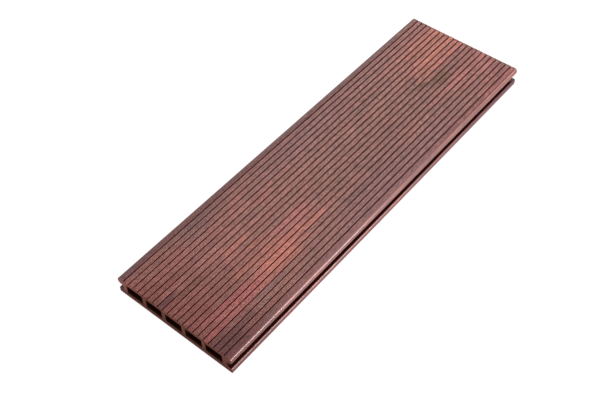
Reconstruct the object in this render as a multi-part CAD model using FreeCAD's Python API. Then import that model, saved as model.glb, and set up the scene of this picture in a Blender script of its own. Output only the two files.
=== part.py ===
import FreeCAD, Part
import math
import os
from FreeCAD import Vector

# Hollow wood-plastic decking board, extruded in one piece along X.
# It lies flat with its grooved walking face up; the origin is under its middle. Millimetres.

# Overall size
length = 494.0
width = 147.0
thickness = 23.0

# Hollow inside
chamber_count = 5
top_wall = 4.6                # from the rib tops down to the chamber ceilings
bottom_wall = 5.0
web = 4.7                     # between neighbouring chambers
edge_wall = 11.6              # from a long edge in to the outermost chamber
chamber_corner_radius = 0.8

# Clip slot in each long edge, between an upper and a lower lip
lower_lip = 7.2
slot_height = 7.2
slot_depth = 6.0
slot_corner_radius = 0.8

# Rounding of the long edges
top_edge_radius = 3.5
upper_lip_under_radius = 3.2
lower_lip_top_radius = 1.5
bottom_edge_radius = 0.6

# Grooves between the ribs of the walking face
groove_pitch = 6.5
groove_mouth = 1.0
groove_floor = 0.7
groove_depth = 1.2
groove_floor_radius = 0.2
rib_edge_radius = 0.2
plain_edge = 8.0              # least distance from a long edge to a groove's middle


def rounded_wire(corners):
    """Closed wire in the YZ plane through corners (y, z, radius), each rounded by a tangent arc."""
    starts = []
    middles = []
    ends = []
    for i, (y, z, radius) in enumerate(corners):
        corner = Vector(0, y, z)
        before = Vector(0, *corners[i - 1][:2]) - corner
        after = Vector(0, *corners[(i + 1) % len(corners)][:2]) - corner
        before.normalize()
        after.normalize()
        half_angle = before.getAngle(after) / 2
        reach = radius / math.tan(half_angle)
        bisector = (before + after).normalize()
        starts.append(corner + before * reach)
        middles.append(corner + bisector * (radius / math.sin(half_angle) - radius))
        ends.append(corner + after * reach)
    edges = []
    for i in range(len(corners)):
        edges.append(Part.Arc(starts[i], middles[i], ends[i]).toShape())
        edges.append(Part.LineSegment(ends[i], starts[(i + 1) % len(corners)]).toShape())
    return Part.Wire(edges)


def edge_corners():
    """Corners of the long edge at +Y, from the underside up to the walking face."""
    outer = width / 2
    slot_back = outer - slot_depth
    slot_top = lower_lip + slot_height
    return [
        (outer, 0, bottom_edge_radius),
        (outer, lower_lip, lower_lip_top_radius),
        (slot_back, lower_lip, slot_corner_radius),
        (slot_back, slot_top, slot_corner_radius),
        (outer, slot_top, upper_lip_under_radius),
        (outer, thickness, top_edge_radius),
    ]


def groove_corners(middle):
    """Corners of one groove of the walking face, from its +Y side to its -Y side."""
    floor = thickness - groove_depth
    return [
        (middle + groove_mouth / 2, thickness, rib_edge_radius),
        (middle + groove_floor / 2, floor, groove_floor_radius),
        (middle - groove_floor / 2, floor, groove_floor_radius),
        (middle - groove_mouth / 2, thickness, rib_edge_radius),
    ]


def outline():
    """Outer wire of the section: up the +Y edge, across the grooves and down the -Y edge."""
    groove_count = int((width - 2 * plain_edge) / groove_pitch) + 1
    first_groove = groove_pitch * (groove_count - 1) / 2
    corners = edge_corners()
    for i in range(groove_count):
        corners += groove_corners(first_groove - i * groove_pitch)
    corners += [(-y, z, radius) for y, z, radius in reversed(edge_corners())]
    return rounded_wire(corners)


def chambers():
    """Wires of the chambers that run through the board, side by side between webs."""
    clear_width = width - 2 * edge_wall
    chamber_width = (clear_width - (chamber_count - 1) * web) / chamber_count
    ceiling = thickness - top_wall
    wires = []
    for i in range(chamber_count):
        left = -clear_width / 2 + i * (chamber_width + web)
        right = left + chamber_width
        corners = [(left, bottom_wall), (right, bottom_wall), (right, ceiling), (left, ceiling)]
        wires.append(rounded_wire([(y, z, chamber_corner_radius) for y, z in corners]))
    return wires


def decking_board():
    """The section, with its chambers as holes, extruded over the board's length."""
    section = Part.Face(outline()).cut([Part.Face(wire) for wire in chambers()])
    section.translate(Vector(-length / 2, 0, 0))
    return section.Faces[0].extrude(Vector(length, 0, 0))


os.makedirs("parts", exist_ok=True)
decking_board().exportStep("parts/decking_board.step")
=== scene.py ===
import math

import bpy
import numpy as np
from mathutils import Matrix, Vector
from mathutils.geometry import tessellate_polygon


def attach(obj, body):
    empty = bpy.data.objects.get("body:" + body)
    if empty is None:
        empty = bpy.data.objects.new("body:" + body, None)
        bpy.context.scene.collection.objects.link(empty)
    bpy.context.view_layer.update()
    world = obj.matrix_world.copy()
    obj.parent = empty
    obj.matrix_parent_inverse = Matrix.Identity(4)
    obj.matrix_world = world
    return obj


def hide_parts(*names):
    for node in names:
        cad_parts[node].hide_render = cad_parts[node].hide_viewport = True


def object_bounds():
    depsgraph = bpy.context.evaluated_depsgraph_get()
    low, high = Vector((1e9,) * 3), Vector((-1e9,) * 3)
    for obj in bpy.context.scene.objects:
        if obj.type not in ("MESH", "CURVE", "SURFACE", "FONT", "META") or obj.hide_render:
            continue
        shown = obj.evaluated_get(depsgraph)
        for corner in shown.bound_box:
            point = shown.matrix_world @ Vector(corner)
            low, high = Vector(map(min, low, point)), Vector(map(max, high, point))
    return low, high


# Hollow decking board of wood-plastic composite, on a white studio floor.
# Metres, in the board's own frame.
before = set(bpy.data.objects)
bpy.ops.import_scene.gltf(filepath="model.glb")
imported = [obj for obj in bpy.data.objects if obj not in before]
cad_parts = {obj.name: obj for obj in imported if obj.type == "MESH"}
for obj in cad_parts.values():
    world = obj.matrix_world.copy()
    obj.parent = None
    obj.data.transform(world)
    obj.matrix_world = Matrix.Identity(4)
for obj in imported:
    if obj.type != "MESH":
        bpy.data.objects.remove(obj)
cad_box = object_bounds()
board_low, board_high = cad_box
MM = 0.001

# Camera, as found from the board's edges and grooves in the photograph
IMAGE_WIDTH_PX = 607
FOCAL_LENGTH_PX = 963.7
SENSOR_WIDTH_MM = 36.0
CAMERA_PLACE = (-0.5484, -0.4092, 0.7790)
CAMERA_YAW = math.radians(39.589)       # from +X towards +Y
CAMERA_PITCH = math.radians(50.184)     # below the horizon
CAMERA_ROLL = math.radians(-0.598)

# Mesh of the board
STATION_STEP = 3.6 * MM                 # between rings along the length
FINE_STEP = 0.7 * MM                    # between points on the walking face and the long edges
PLAIN_STEP = 4.0 * MM                   # between points on the underside and round the chambers
SHORTEST_SIDE = 0.16 * MM               # finer rounding than this is merged
STRAIGHT_SIDE = 0.4 * MM                # a side this long keeps both its ends
SHARP_ANGLE = math.radians(40)          # edges that turn by more than this are shaded as sharp
END_TOLERANCE = 0.001 * MM              # points this near to the end's plane lie in it
POINT_DECIMALS = 7                      # points that agree to this many decimals are one

# Faces of the section, by their heights and their distances from the middle
UNDERSIDE_BAND = 0.1 * MM               # the underside lies below this height
GROOVE_ZONE = 2.0 * MM                  # ribs and grooves lie within this depth of the top
RIB_TOP_ZONE = 0.12 * MM                # the ribs' own faces lie within this depth of it
EDGE_ROUNDING = 3.5 * MM                # width of the rounded band beside the walking face
EDGE_MARGIN = 0.01 * MM                 # slack at the start of that band
LIP_ROUNDING = 3.2 * MM                 # rounding of the upper lip at the mouth of a clip slot
LOWER_ARRIS = 1.5 * MM                  # rounding of the lower lip there
SLOT_LOW = 7.0 * MM                     # a clip slot lies between these heights
SLOT_HIGH = 14.6 * MM
RIBS, GROOVE, ARRIS, EDGES, SLOT, SAWN, CHAMBER = range(7)      # material slots of the board

# Grain pressed into the mesh
GRAIN_SEED = 11
RIB_RELIEF = 0.09 * MM                  # depth of the brushed grain on the ribs
PLAIN_RELIEF = 0.02 * MM                # depth of the unevenness elsewhere
RELIEF_REACH = 0.5 * MM                 # the brushed grain ends this far below the rib tops
RELIEF_FADE = 0.3 * MM                  # height over which it comes in
LONG_STREAK = (22 * MM, 0.9 * MM)       # length and width of the grain's long streaks
SHORT_STREAK = (7 * MM, 0.75 * MM)
LONG_STREAK_SHARE = 0.6                 # how much of the depth the long streaks have

# Studio
FLOOR_HALF_SIDE = 6.0
FLOOR_GREY = 0.25                       # the floor's own colour, which carries the shadow
FLOOR_LIFT = 0.88                       # white that is added to what is seen of it
AMBIENT = 0.4                           # light from all round, where 1 is white


def section_loops(node):
    """Closed loops of (y, z) points round the section at the CAD mesh's low end; the outline is first."""
    mesh = node.data
    places = np.array([v.co for v in mesh.vertices])
    at_end = np.abs(places[:, 0] - places[:, 0].min()) < END_TOLERANCE
    keys = [tuple(np.round(p[1:], POINT_DECIMALS)) for p in places]
    neighbours = {}
    for face in mesh.polygons:
        on_end = [i for i in face.vertices if at_end[i]]
        # Only a face that runs along the board meets the end in one side of the section
        if len(on_end) != 2:
            continue
        a, b = (keys[i] for i in on_end)
        neighbours.setdefault(a, set()).add(b)
        neighbours.setdefault(b, set()).add(a)
    loops = []
    left = set(neighbours)
    while left:
        loop = [min(left)]
        left.remove(loop[0])
        while True:
            onward = sorted(n for n in neighbours[loop[-1]] if n in left)
            if not onward:
                break
            loop.append(onward[0])
            left.remove(onward[0])
        loops.append(np.array(loop))
    loops = [loop if signed_area(loop) > 0 else loop[::-1] for loop in loops]
    return sorted(loops, key=signed_area, reverse=True)


def signed_area(loop):
    """Area inside a closed loop, positive when it runs anticlockwise seen from +X."""
    y, z = loop.T
    return 0.5 * float(np.sum(y * np.roll(z, -1) - np.roll(y, -1) * z))


def side_lengths(loop):
    """Length of the side that follows each point of a closed loop."""
    return np.linalg.norm(np.roll(loop, -1, 0) - loop, axis=1)


def fewer_points(loop):
    """The loop without the points that round its smallest corners more finely than the mesh needs."""
    sides = side_lengths(loop)
    kept = []
    for i, point in enumerate(loop):
        ends_straight = sides[i] > STRAIGHT_SIDE or sides[i - 1] > STRAIGHT_SIDE
        if ends_straight or not kept or np.linalg.norm(point - kept[-1]) > SHORTEST_SIDE:
            kept.append(point)
    return np.array(kept)


def more_points(loop, step_at):
    """The loop with points added along its long sides, no further apart than step_at(a, b) says."""
    points = []
    for a, b in zip(loop, np.roll(loop, -1, 0)):
        count = max(1, math.ceil(np.linalg.norm(b - a) / step_at(a, b)))
        points += [a + (b - a) * k / count for k in range(count)]
    return np.array(points)


def outline_step(a, b):
    """Fine on the walking face and the long edges, coarse on the underside."""
    return FINE_STEP if max(a[1], b[1]) > UNDERSIDE_BAND else PLAIN_STEP


def outline_slot(side):
    """Material slot of one side of the outline: rib, groove, clip slot, arris, or edge and underside."""
    y, z = np.abs(np.mean(side, 0))
    if z > board_high.z - GROOVE_ZONE and y < board_high.y - EDGE_ROUNDING + EDGE_MARGIN:
        return RIBS if z > board_high.z - RIB_TOP_ZONE else GROOVE
    if SLOT_LOW < z < SLOT_HIGH and y < board_high.y - LIP_ROUNDING:
        return SLOT
    on_lower_arris = SLOT_LOW - LOWER_ARRIS < z < SLOT_HIGH / 2
    if z > board_high.z - EDGE_ROUNDING or on_lower_arris:
        return ARRIS
    return EDGES


def loop_normals(loop):
    """Unit normals that point out of the area inside the loop."""
    along = np.roll(loop, -1, 0) - np.roll(loop, 1, 0)
    normals = np.stack([along[:, 1], -along[:, 0]], 1)
    return normals / np.linalg.norm(normals, axis=1, keepdims=True)


def lattice_noise(rng, x, s, x_step, s_step):
    """Smooth random values from 0 to 1 at every pair of x and s, from a lattice of those steps."""
    levels = rng.random((int(np.ptp(x) / x_step) + 2, int(np.ptp(s) / s_step) + 2))
    i, u = np.divmod((x - x.min()) / x_step, 1)
    j, v = np.divmod((s - s.min()) / s_step, 1)
    i, j = i.astype(int), j.astype(int)
    u = (u * u * (3 - 2 * u))[:, None]
    v = (v * v * (3 - 2 * v))[None, :]
    low = levels[np.ix_(i, j)] * (1 - v) + levels[np.ix_(i, j + 1)] * v
    high = levels[np.ix_(i + 1, j)] * (1 - v) + levels[np.ix_(i + 1, j + 1)] * v
    return low * (1 - u) + high * u


def brushed_relief(rng, loop, stations):
    """How far each point of each ring is pressed in: long shallow streaks on the ribs, little elsewhere."""
    around = np.concatenate([[0], np.cumsum(side_lengths(loop))[:-1]])
    on_ribs = np.clip((loop[:, 1] - (board_high.z - RELIEF_REACH)) / RELIEF_FADE, 0, 1)
    depth = PLAIN_RELIEF + (RIB_RELIEF - PLAIN_RELIEF) * on_ribs
    long_streaks = lattice_noise(rng, stations, around, *LONG_STREAK)
    short_streaks = lattice_noise(rng, stations, around, *SHORT_STREAK)
    return depth * (LONG_STREAK_SHARE * long_streaks + (1 - LONG_STREAK_SHARE) * short_streaks)


def ring_walls(start, row_count, size, outer):
    """Quads between neighbouring rings of size points, from number start; they face in, or out if outer."""
    faces = []
    for i in range(row_count - 1):
        for j in range(size):
            a = start + i * size + j
            b = start + i * size + (j + 1) % size
            quad = (a, b, b + size, a + size)
            faces.append(quad[::-1] if outer else quad)
    return faces


def end_faces(places, end_rings, outward):
    """Triangles that close one end between the outline and the chambers; outward is 1 at +X, else -1."""
    corner_ids = [i for ring in end_rings for i in ring]
    polylines = [[Vector((places[i][1], places[i][2], 0)) for i in ring] for ring in end_rings]
    faces = []
    for triangle in tessellate_polygon(polylines):
        corners = [corner_ids[k] for k in triangle]
        a, b, c = places[corners]
        facing = np.cross(b - a, c - a)[0]
        faces.append(tuple(corners if facing * outward > 0 else corners[::-1]))
    return faces


def make_board():
    """The board as one mesh: the CAD section along the length, with its grain, closed by sawn ends."""
    rng = np.random.default_rng(GRAIN_SEED)
    count = round((board_high.x - board_low.x) / STATION_STEP)
    stations = np.linspace(board_low.x, board_high.x, count + 1)
    loops = [fewer_points(loop) for loop in section_loops(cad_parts["decking_board"])]
    rings = [more_points(loops[0], outline_step)]
    rings += [more_points(loop, lambda a, b: PLAIN_STEP) for loop in loops[1:]]
    places, faces, slots = [], [], []
    near_ends, far_ends = [], []
    start = 0
    for number, ring in enumerate(rings):
        size = len(ring)
        outer = number == 0
        rows = stations if outer else stations[[0, -1]]
        points = np.repeat(ring[None], len(rows), 0)
        ring_slots = [CHAMBER] * size
        if outer:
            points = points - brushed_relief(rng, ring, stations)[..., None] * loop_normals(ring)
            ring_slots = [outline_slot(side) for side in zip(ring, np.roll(ring, -1, 0))]
        x = np.repeat(rows[:, None, None], size, 1)
        places.append(np.concatenate([x, points], 2).reshape(-1, 3))
        faces += ring_walls(start, len(rows), size, outer)
        slots += ring_slots * (len(rows) - 1)
        near_ends.append(range(start, start + size))
        start += len(rows) * size
        far_ends.append(range(start - size, start))
    places = np.concatenate(places)
    for end_rings, outward in ((near_ends, -1), (far_ends, 1)):
        sawn = end_faces(places, end_rings, outward)
        faces += sawn
        slots += [SAWN] * len(sawn)
    mesh = bpy.data.meshes.new("grained_board")
    mesh.from_pydata(places.tolist(), [], faces)
    mesh.polygons.foreach_set("material_index", slots)
    mesh.polygons.foreach_set("use_smooth", [True] * len(faces))
    mesh.set_sharp_from_angle(angle=SHARP_ANGLE)
    mesh.validate()
    board = bpy.data.objects.new("grained_board", mesh)
    bpy.context.scene.collection.objects.link(board)
    return board


NOISE_SPAN = (0.3, 0.7)                 # nearly all values of a noise lie between these


class Nodes:
    """Short ways to add nodes to one material's or world's tree."""

    def __init__(self, owner):
        owner.use_nodes = True
        self.tree = owner.node_tree
        self.tree.nodes.clear()

    def add(self, kind, inputs=None, **settings):
        """A node with its settings; each input is a value, or an output socket to link from."""
        node = self.tree.nodes.new(kind)
        for name, value in settings.items():
            setattr(node, name, value)
        for key, value in (inputs or {}).items():
            if isinstance(value, bpy.types.NodeSocket):
                self.tree.links.new(value, node.inputs[key])
            else:
                node.inputs[key].default_value = value
        return node

    def math(self, operation, a, b=0.0, c=0.0):
        return self.add("ShaderNodeMath", {0: a, 1: b, 2: c}, operation=operation).outputs[0]

    def product(self, first, *others):
        """All the values multiplied together."""
        total = first
        for value in others:
            total = self.math("MULTIPLY", total, value)
        return total

    def vector(self, operation, a, b):
        return self.add("ShaderNodeVectorMath", {0: a, 1: b}, operation=operation).outputs[0]

    def length(self, a):
        return self.add("ShaderNodeVectorMath", {0: a}, operation="LENGTH").outputs["Value"]

    def mix(self, factor, a, b):
        return self.add("ShaderNodeMix", {0: factor, 6: a, 7: b}, data_type="RGBA").outputs[2]

    def ramp(self, value, low, high, to_low=0.0, to_high=1.0):
        """value taken smoothly from low..high to to_low..to_high, and held there beyond."""
        inputs = {0: value, 1: low, 2: high, 3: to_low, 4: to_high}
        return self.add("ShaderNodeMapRange", inputs, interpolation_type="SMOOTHSTEP").outputs[0]

    def noise(self, place, size, detail=2.0):
        """Noise about 0.5 whose features have the given size along each axis, in millimetres."""
        inputs = {"Vector": self.vector("DIVIDE", place, size), "Scale": 1.0, "Detail": detail}
        return self.add("ShaderNodeTexNoise", inputs).outputs["Fac"]

    def spread(self, noise, to_low=0.0, to_high=1.0):
        """A noise taken from its usual span to to_low..to_high."""
        return self.ramp(noise, *NOISE_SPAN, to_low, to_high)

    def grains(self, place, size):
        """A random value from 0 to 1 in each of many small cells of the given size, in millimetres."""
        inputs = {"Vector": self.vector("DIVIDE", place, size), "Scale": 1.0}
        cells = self.add("ShaderNodeTexVoronoi", inputs)
        return self.add("ShaderNodeSeparateColor", {0: cells.outputs["Color"]}).outputs[0]

    def shaded(self, colour, amount):
        """colour made lighter or darker by the factor amount."""
        factors = self.add("ShaderNodeCombineXYZ", {0: amount, 1: amount, 2: amount}).outputs[0]
        return self.vector("MULTIPLY", colour, factors)

    def bump(self, height, strength, depth):
        """The surface's normal, tilted by a relief of the given depth that follows height."""
        inputs = {"Strength": strength, "Distance": depth, "Height": height}
        return self.add("ShaderNodeBump", inputs).outputs[0]

    def surface(self, colour, roughness, ior, normal):
        """The finished surface of a material."""
        inputs = {"Base Color": colour, "Roughness": roughness, "IOR": ior, "Normal": normal}
        shader = self.add("ShaderNodeBsdfPrincipled", inputs)
        self.add("ShaderNodeOutputMaterial", {"Surface": shader.outputs[0]})


def srgb(red, green, blue):
    """A colour given in 0 to 255 screen values, as the linear colour that shaders take."""
    def linear(v):
        v /= 255
        return v / 12.92 if v <= 0.04045 else ((v + 0.055) / 1.055) ** 2.4
    return (linear(red), linear(green), linear(blue), 1.0)


# Pigments of the composite
BROWN = srgb(136, 88, 80)
GREY = srgb(123, 86, 80)
LIGHT = srgb(145, 96, 87)
SALMON = srgb(177, 106, 93)
PINK = srgb(160, 99, 93)
ORANGE = srgb(165, 100, 83)
CRIMSON = srgb(146, 78, 77)
RUST = srgb(115, 60, 54)
# Greyer tone of the middle of the walking face: partly a grey pigment, partly painted sheen
GREIGE_AND_SHEEN = srgb(126, 89, 82)
MAUVE = srgb(118, 84, 84)
SLATE = srgb(100, 70, 68)
PLUM = srgb(98, 63, 68)
WINE = srgb(90, 54, 53)
OLIVE = srgb(92, 62, 45)
DARK = srgb(76, 42, 41)
# Painted shade where the lips turn into the clip slots
SLOT_MOUTH_SHADE = srgb(44, 13, 9)
# Painted shade on the lower lips towards the far end; also the colour of one streak near the near end
LIP_STAIN_AND_SHADE = srgb(84, 26, 30)
# Painted shade of the grooves, laid on the rib tops beside them
GROOVE_SHADE = srgb(62, 10, 6)
SIDE_TINT = (1.04, 0.84, 1.00)          # the smooth sides are redder than the brushed face

# Colours of the grooves, slots, sawn ends and chambers
# The grooves' colours are partly their darker unbrushed skin and partly painted shade
GROOVE_DARK = srgb(62, 5, 3)
GROOVE_LIGHT = srgb(76, 8, 5)
GROOVE_FAR_SHADE = srgb(30, 3, 2)
# Painted shade: the walls inside the clip slots are coloured near black
SLOT_DARK = srgb(38, 12, 10)
SLOT_LIGHT = srgb(52, 18, 14)
SAWN_DARK = srgb(128, 78, 65)
SAWN_LIGHT = srgb(158, 100, 85)
SAWN_TINT = (1, 1, 1, 1)
SAWN_LEFT_TINT = (0.95, 1.2, 1.6, 1)    # the sawn ends are cooler at the left lips
# Painted shade: the walls inside the chambers are coloured near black
CHAMBER_DARK = srgb(34, 11, 7)
CHAMBER_LIGHT = srgb(50, 18, 12)
# Painted light on the chamber floors just inside the sawn ends
CHAMBER_MOUTH_LIGHT = srgb(120, 76, 62)

# Streaks that stand out, in millimetres: from the near end, across from the middle, half length,
# half width; then the pigment and how much of it
STREAKS = [
    (0, 0, 75, 90, RUST, 0.5),
    (0, 0, 24, 90, RUST, 0.5),
    (390, 0, 160, 110, SLATE, 0.15),
    (480, 0, 60, 90, CRIMSON, 0.2),
    # Greyer middle of the walking face: partly a grey pigment, partly painted sheen
    (270, -5, 130, 55, GREIGE_AND_SHEEN, 0.4),
    (285, -57, 150, 17, MAUVE, 0.6),
    (255, 50, 95, 18, MAUVE, 0.5),
    (247, 63, 330, 18, SLATE, 0.22),
    (250, -49, 260, 3.6, SLATE, 0.3),
    (240, -68, 210, 3.6, PLUM, 0.5),
    (62, 39, 50, 16, CRIMSON, 0.15),
    (110, 59, 55, 6, SLATE, 0.45),
    (15, 68, 60, 4, PLUM, 0.9),
    (250, 68, 280, 4, WINE, 0.8),
    (6, 18, 26, 5.5, DARK, 0.8),
    (22, 11, 13, 5, OLIVE, 0.5),
    (-8, -58, 67, 17, DARK, 0.85),
    (90, 10, 20, 7, SALMON, 0.55),
    (90, -16, 45, 3.6, ORANGE, 0.5),
    (75, -36, 35, 3.6, SALMON, 0.5),
    (45, -42, 80, 3.6, CRIMSON, 0.5),
    (120, -42, 40, 3.6, ORANGE, 0.3),
    (58, -32, 46, 7, CRIMSON, 0.6),
    (114, -32, 36, 7, SALMON, 0.85),
    (128, -21, 44, 5, SALMON, 0.55),
    (165, -29, 40, 3.6, SALMON, 0.45),
    (145, -12, 50, 6, PINK, 0.8),
    (115, -3, 25, 3.6, ORANGE, 0.5),
    (150, 29, 25, 3.6, PINK, 0.5),
    (248, -42, 45, 3.6, SLATE, 0.7),
    (314, -29, 30, 9, SLATE, 0.45),
    (475, 34, 80, 13, ORANGE, 0.5),
    (480, 16, 70, 8, ORANGE, 0.65),
    (482, 6, 50, 6, SALMON, 0.5),
    (430, 6, 35, 6, ORANGE, 0.45),
    (391, -3, 15, 3.6, OLIVE, 0.8),
    (416, -10, 15, 3.6, OLIVE, 0.75),
    (422, -16, 12, 3.6, OLIVE, 0.8),
    (435, -29, 36, 9, PINK, 0.6),
    (490, -29, 14, 3.6, PINK, 0.8),
    (427, -42, 18, 3.6, RUST, 0.5),
    (482, -42, 22, 3.6, PINK, 0.5),
    (350, 42, 65, 3.6, SLATE, 0.35),
    (470, -69, 70, 4, CRIMSON, 0.35),
    (420, -69, 95, 4, RUST, 0.45),
    (455, -75, 70, 3.6, SALMON, 0.5),
    (40, -71, 90, 5, WINE, 0.6),
    (22, -71, 60, 5, LIP_STAIN_AND_SHADE, 0.32),
]
STREAK_FULL = 0.4                       # a streak is full within this share of its half size
STREAK_END = 1.25                       # and gone beyond this one

# Contrast of the specks in the brushed face, as the power that their tone is raised to
SPECK_CONTRAST = 2.2

# Sizes of the patterns in the materials, in millimetres
GROOVE_PITCH_MM = 6.5
STREAK_SIZE_MM = (60, 8, 8)
BLOTCH_SIZE_MM = (26, 7, 7)
WAVER_SIZE_MM = (40, 8, 8)
WAVER_MM = 16                           # how far streaks waver along a rib
STAGGER_MM = 10                         # how far they are moved from rib to rib
SPECK_SIZE_MM = (0.4, 0.34, 0.34)
CHIP_SIZE_MM = (0.9, 0.75, 0.75)
FIBRE_SIZE_MM = (8, 0.9, 0.9)
SAWN_SPECK_SIZE_MM = (0.8, 0.8, 0.8)
SAW_LINE_SIZE_MM = (0.6, 30, 0.6)


def board_place(n):
    """Place on the board in millimetres: along from the near end, across from the middle, and up."""
    coords = n.add("ShaderNodeTexCoord").outputs["Object"]
    from_end = n.vector("SUBTRACT", coords, (board_low.x, 0, 0))
    return n.vector("DIVIDE", from_end, (MM, MM, MM))


def new_material(name):
    """A material, what adds its nodes, and the place on the board that its patterns start from."""
    material = bpy.data.materials.new(name)
    n = Nodes(material)
    return material, n, board_place(n)


def split(n, place):
    """Along, across and up of a place, each as a value."""
    return n.add("ShaderNodeSeparateXYZ", {0: place}).outputs


def rib_number(n, place):
    """Which rib a place lies on, counted across the board."""
    return n.math("FLOOR", n.math("DIVIDE", split(n, place)[1], GROOVE_PITCH_MM))


def groove_distance(n, place):
    """How far a place lies to the side of the nearest groove's middle, in millimetres."""
    across = n.math("DIVIDE", split(n, place)[1], GROOVE_PITCH_MM)
    offset = n.math("ABSOLUTE", n.math("SUBTRACT", across, n.math("ROUND", across)))
    return n.math("MULTIPLY", offset, GROOVE_PITCH_MM)


def rib_random(n, place):
    """A random value from 0 to 1 for each rib."""
    number = rib_number(n, place)
    return n.add("ShaderNodeTexWhiteNoise", {"W": number}, noise_dimensions="1D").outputs["Value"]


def rib_spot(n, place):
    """place on its rib's middle line, moved a little along it, so that streaks end raggedly."""
    middle = n.math("MULTIPLY", n.math("ADD", rib_number(n, place), 0.5), GROOVE_PITCH_MM)
    on_line = n.add("ShaderNodeCombineXYZ", {0: split(n, place)[0], 1: middle}).outputs[0]
    stagger = n.ramp(rib_random(n, place), 0, 1, -STAGGER_MM, STAGGER_MM)
    waver = n.ramp(n.noise(on_line, WAVER_SIZE_MM), 0.2, 0.8, -WAVER_MM, WAVER_MM)
    shift = n.add("ShaderNodeCombineXYZ", {0: n.math("ADD", stagger, waver)}).outputs[0]
    return n.vector("ADD", on_line, shift)


def pigment(n, place):
    """Streaky colour of the composite, drawn out along the board and even across each rib."""
    spot = rib_spot(n, place)
    long_streaks = n.noise(spot, STREAK_SIZE_MM, detail=3.0)
    colour = n.mix(n.ramp(long_streaks, 0.35, 0.65), GREY, BROWN)
    blotches = n.noise(spot, BLOTCH_SIZE_MM)
    colour = n.mix(n.ramp(blotches, 0.5, 0.75, 0.0, 0.8), colour, LIGHT)
    colour = n.mix(n.ramp(blotches, 0.45, 0.2, 0.0, 0.3), colour, DARK)
    for along, across, half_length, half_width, tone, share in STREAKS:
        offset = n.vector("SUBTRACT", spot, (along, across, 0))
        distance = n.length(n.vector("DIVIDE", offset, (half_length, half_width, 1)))
        colour = n.mix(n.ramp(distance, STREAK_END, STREAK_FULL, 0.0, share), colour, tone)
    return colour


def slot_mouth_shade(n, place):
    """1 where a lip turns into a clip slot, 0 on its outer face; it marks where painted shade goes."""
    height = split(n, place)[2]
    above_lower_lip = n.ramp(height, 6.8, 7.15)
    below_upper_lip = n.ramp(height, 14.7, 14.42)
    return n.product(above_lower_lip, below_upper_lip)


def lower_lip_far_shade(n, place):
    """How much painted shade the lower lips have: none as far as the middle, and all at the far end."""
    along, _, height = split(n, place)
    towards_far_end = n.ramp(along, 260, 490)
    on_lower_lip = n.ramp(height, 9, 7)
    return n.product(towards_far_end, on_lower_lip)


def die_lines(n, place, length=160, width=0.9):
    """Faint lines that the die drew along the board, as a noise of that length and width in millimetres."""
    return n.noise(place, (length, width, width))


def die_bump(n, lines):
    """The surface's normal with the die's lines in it."""
    return n.bump(lines, strength=0.3, depth=0.05 * MM)


def rib_material():
    """Walking face: brushed matt ribs with short marks in them, painted shade beside each groove and a
    painted highlight on the rib edges next to it.
    """
    material, n, place = new_material("brushed_ribs")
    along = split(n, place)[0]
    specks = n.grains(place, SPECK_SIZE_MM)
    chips = n.grains(place, CHIP_SIZE_MM)
    fibres = n.noise(place, FIBRE_SIZE_MM, detail=1.0)
    # The specks, the chips and the painted groove shade grow stronger towards the far end
    speck_depth = n.ramp(along, 0, 480, 0.46, 0.74)
    speck_middle = n.ramp(along, 0, 480, 0.92, 0.87)
    chip_depth = n.ramp(along, 40, 420, 0.0, 0.4)
    groove_shade_width = n.ramp(along, 60, 420, 0.0, 0.16)
    speck_level = n.math("MULTIPLY_ADD", n.ramp(specks, 0, 1, -1, 1), speck_depth, speck_middle)
    speck_tone = n.math("POWER", speck_level, SPECK_CONTRAST)
    chip_tone = n.math("MULTIPLY_ADD", n.ramp(chips, 0, 1, -1, 1), chip_depth, 1.0)
    fibre_tone = n.spread(fibres, 0.88, 1.12)
    rib_tone = n.ramp(rib_random(n, place), 0, 1, 0.94, 1.06)
    from_groove_shade = n.math("SUBTRACT", groove_distance(n, place), groove_shade_width)
    # Painted highlight: the ribs are a little lighter next to the painted groove shade
    edge_highlight = n.ramp(from_groove_shade, 1.5, 0.9, 1.0, 1.10)
    tone = n.product(speck_tone, chip_tone, fibre_tone, rib_tone, edge_highlight)
    colour = n.shaded(pigment(n, place), tone)
    # Painted shade of the grooves over the rib tops beside them, wider towards the far end
    colour = n.mix(n.ramp(from_groove_shade, 0.74, 0.5), colour, GROOVE_SHADE)
    roughness = n.ramp(specks, 0, 1, 0.46, 0.62)
    normal = n.bump(n.math("ADD", specks, fibres), strength=0.5, depth=0.15 * MM)
    n.surface(colour, roughness, ior=1.38, normal=normal)
    return material


def groove_material():
    """Walls and floors of the grooves: dull and smooth, with faint lines; dark partly from their unbrushed
    skin and partly as painted shade, which is darkest at the far end.
    """
    material, n, place = new_material("groove_wall")
    lines = die_lines(n, place, length=90, width=0.5)
    colour = n.mix(n.spread(lines), GROOVE_DARK, GROOVE_LIGHT)
    # Painted shade: the grooves darken towards the far end
    towards_far_end = n.ramp(split(n, place)[0], 60, 420, 0.0, 0.7)
    colour = n.mix(towards_far_end, colour, GROOVE_FAR_SHADE)
    n.surface(colour, roughness=0.7, ior=1.04, normal=die_bump(n, lines))
    return material


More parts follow.
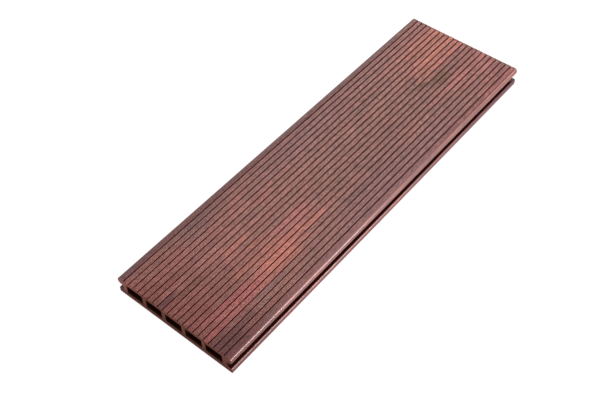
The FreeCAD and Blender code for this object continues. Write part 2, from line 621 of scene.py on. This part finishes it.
def arris_material():
    """Rounded arrises of the long edges, burnished by the die: painted highlight pales the lower lips,
    painted shade darkens the far end and the slot mouths.
    """
    material, n, place = new_material("burnished_arris")
    lines = die_lines(n, place)
    along, _, height = split(n, place)
    # Painted shade: the lower lips darken towards the far end
    skin = n.mix(lower_lip_far_shade(n, place), pigment(n, place), LIP_STAIN_AND_SHADE)
    # Painted highlight: the lower lips' arrises are paler
    lower_lip_lighting = n.ramp(height, 9, 7, 1.0, 1.3)
    # Painted shade: the arrises darken towards the far end
    far_end_shade = n.ramp(along, 330, 450, 1.0, 0.68)
    colour = n.shaded(skin, n.product(lower_lip_lighting, far_end_shade, n.spread(lines, 0.9, 1.1)))
    # Painted shade where the lip turns into the clip slot
    colour = n.mix(slot_mouth_shade(n, place), colour, SLOT_MOUTH_SHADE)
    roughness = n.spread(lines, 0.18, 0.26)
    n.surface(colour, roughness, ior=1.42, normal=die_bump(n, lines))
    return material


def edge_material():
    """Flat sides and underside: the smooth satin skin left by the die, with faint lines along it; painted
    shade darkens the lower lips, most at the far end, and the slot mouths.
    """
    material, n, place = new_material("smooth_sides")
    lines = die_lines(n, place)
    # Painted shade: the lower lips darken towards the far end
    far_lip_shade = n.product(lower_lip_far_shade(n, place), 0.8)
    skin = n.vector("MULTIPLY", n.mix(far_lip_shade, pigment(n, place), PLUM), SIDE_TINT)
    # Painted shade: the lower lips' faces are darker
    lower_lip_lighting = n.ramp(split(n, place)[2], 8, 6, 1.0, 0.8)
    colour = n.shaded(skin, n.product(lower_lip_lighting, n.spread(lines, 0.9, 1.1)))
    # Painted shade where the lip turns into the clip slot
    colour = n.mix(slot_mouth_shade(n, place), colour, SLOT_MOUTH_SHADE)
    roughness = n.spread(lines, 0.34, 0.46)
    n.surface(colour, roughness, ior=1.2, normal=die_bump(n, lines))
    return material


def slot_material():
    """Inside of the clip slots: painted shade in a near-black red-brown, with faint lines from the die."""
    material, n, place = new_material("slot_wall")
    lines = die_lines(n, place)
    colour = n.mix(n.spread(lines), SLOT_DARK, SLOT_LIGHT)
    n.surface(colour, roughness=0.6, ior=1.12, normal=die_bump(n, lines))
    return material


def sawn_material():
    """Sawn ends: brown core with specks of wood and faint saw lines, paler at the top and to the left."""
    material, n, place = new_material("sawn_end")
    _, across, height = split(n, place)
    specks = n.noise(place, SAWN_SPECK_SIZE_MM, detail=3.0)
    saw_lines = n.noise(place, SAW_LINE_SIZE_MM, detail=1.0)
    colour = n.mix(n.spread(specks), SAWN_DARK, SAWN_LIGHT)
    tint = n.mix(n.ramp(across, 62, 70), SAWN_TINT, SAWN_LEFT_TINT)
    to_the_left = n.product(n.ramp(across, 25, 72), n.ramp(height, 3, 10, 0.1, 1.0))
    left_tone = n.ramp(to_the_left, 0, 1, 1.0, 1.8)
    height_tone = n.ramp(height, 4, 18, 0.88, 1.2)
    tone = n.product(left_tone, height_tone, n.spread(saw_lines, 0.9, 1.1))
    colour = n.shaded(n.vector("MULTIPLY", colour, tint), tone)
    normal = n.bump(n.math("ADD", specks, saw_lines), strength=0.5, depth=0.1 * MM)
    n.surface(colour, roughness=0.75, ior=1.15, normal=normal)
    return material


def chamber_material():
    """Walls of the chambers in painted shade, near black, with faint lines from the die and painted light on
    the floors just inside the ends.
    """
    material, n, place = new_material("chamber_wall")
    lines = die_lines(n, place, length=200, width=1.2)
    colour = n.mix(n.spread(lines), CHAMBER_DARK, CHAMBER_LIGHT)
    along, _, height = split(n, place)
    board_length = (board_high.x - board_low.x) / MM
    from_end = n.math("MINIMUM", along, n.math("SUBTRACT", board_length, along))
    # Painted light on the chamber floors just inside the sawn ends
    lit_mouth = n.product(n.ramp(from_end, 1.5, 0), n.ramp(height, 7, 5))
    colour = n.mix(lit_mouth, colour, CHAMBER_MOUTH_LIGHT)
    n.surface(colour, roughness=0.5, ior=1.2, normal=die_bump(n, lines))
    return material


def seen_directly(n):
    """1 for rays from the camera, or by way of gloss or glass; 0 for the rays that light other surfaces."""
    path = n.add("ShaderNodeLightPath").outputs
    seen = n.math("MAXIMUM", path["Is Camera Ray"], path["Is Glossy Ray"])
    return n.math("MAXIMUM", seen, path["Is Transmission Ray"])


def make_floor():
    """White floor: its own grey carries the board's shadow, and what is seen of it is lifted to white."""
    half = FLOOR_HALF_SIDE
    corners = [(-half, -half, 0), (half, -half, 0), (half, half, 0), (-half, half, 0)]
    mesh = bpy.data.meshes.new("floor")
    mesh.from_pydata(corners, [], [(0, 1, 2, 3)])
    floor = bpy.data.objects.new("floor", mesh)
    bpy.context.scene.collection.objects.link(floor)
    material = bpy.data.materials.new("white_floor")
    n = Nodes(material)
    matt = n.add("ShaderNodeBsdfDiffuse", {"Color": (FLOOR_GREY, FLOOR_GREY, FLOOR_GREY, 1)})
    lift = n.add("ShaderNodeEmission", {"Strength": n.product(seen_directly(n), FLOOR_LIFT)})
    both = n.add("ShaderNodeAddShader", {0: matt.outputs[0], 1: lift.outputs[0]})
    n.add("ShaderNodeOutputMaterial", {"Surface": both.outputs[0]})
    mesh.materials.append(material)


def make_world():
    """White all round where it is seen, and dimmer for the light that it gives."""
    world = bpy.data.worlds.new("studio")
    bpy.context.scene.world = world
    n = Nodes(world)
    strength = n.ramp(seen_directly(n), 0, 1, AMBIENT, 1.0)
    back = n.add("ShaderNodeBackground", {"Color": (1, 1, 1, 1), "Strength": strength})
    n.add("ShaderNodeOutputWorld", {"Surface": back.outputs[0]})


def make_softbox(name, place, aim, size, radiance, lights=True, mirrored=True):
    """A rectangular lamp at place that faces aim; it lights, shows in gloss, or both. Radiance 1 is white."""
    light = bpy.data.lights.new(name, "AREA")
    light.shape = "RECTANGLE"
    light.size, light.size_y = size
    light.energy = radiance * math.pi * size[0] * size[1]
    lamp = bpy.data.objects.new(name, light)
    lamp.visible_diffuse = lights
    lamp.visible_glossy = mirrored
    lamp.location = place
    lamp.rotation_mode = "QUATERNION"
    lamp.rotation_quaternion = (Vector(aim) - Vector(place)).to_track_quat("-Z", "Y")
    bpy.context.scene.collection.objects.link(lamp)


def make_camera():
    """The photograph's camera: where it stands, how it is turned and how far it sees to the sides."""
    yaw, pitch, roll = CAMERA_YAW, CAMERA_PITCH, CAMERA_ROLL
    forward = Vector((math.cos(yaw) * math.cos(pitch), math.sin(yaw) * math.cos(pitch), -math.sin(pitch)))
    level_right = Vector((math.sin(yaw), -math.cos(yaw), 0))
    level_down = forward.cross(level_right)
    right = level_right * math.cos(roll) - level_down * math.sin(roll)
    up = -(level_right * math.sin(roll) + level_down * math.cos(roll))
    turn = Matrix((right, up, -forward)).transposed().to_4x4()
    data = bpy.data.cameras.new("camera")
    data.sensor_width = SENSOR_WIDTH_MM
    data.lens = FOCAL_LENGTH_PX * SENSOR_WIDTH_MM / IMAGE_WIDTH_PX
    camera = bpy.data.objects.new("camera", data)
    camera.matrix_world = Matrix.Translation(CAMERA_PLACE) @ turn
    bpy.context.scene.collection.objects.link(camera)
    bpy.context.scene.camera = camera


# The board, with its materials in the order of its material slots
board = make_board()
board.data.materials.append(rib_material())
board.data.materials.append(groove_material())
board.data.materials.append(arris_material())
board.data.materials.append(edge_material())
board.data.materials.append(slot_material())
board.data.materials.append(sawn_material())
board.data.materials.append(chamber_material())
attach(board, "root")
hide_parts("decking_board")

# The studio
make_floor()
make_world()
make_softbox("overhead", (-0.1, -0.45, 1.7), (0, 0, 0), (1.2, 1.2), radiance=2.6, mirrored=False)
make_softbox("back", (0.95, 0.70, 1.22), (0.05, 0, 0), (0.9, 0.9), radiance=3.8)
make_softbox("right", (-0.05, -1.3, 0.25), (0, -0.07, 0.02), (0.6, 0.4), radiance=22.0, mirrored=False)
make_softbox("right_strip", (0.4, -1.3, 0.2), (0.1, -0.07, 0.02), (0.62, 0.4), radiance=27.0, lights=False)
make_softbox("far_right", (1.25, -0.86, 0.85), (0.2, 0, 0), (0.4, 0.3), radiance=14.0)
make_camera()
bpy.context.scene.view_settings.view_transform = "Standard"
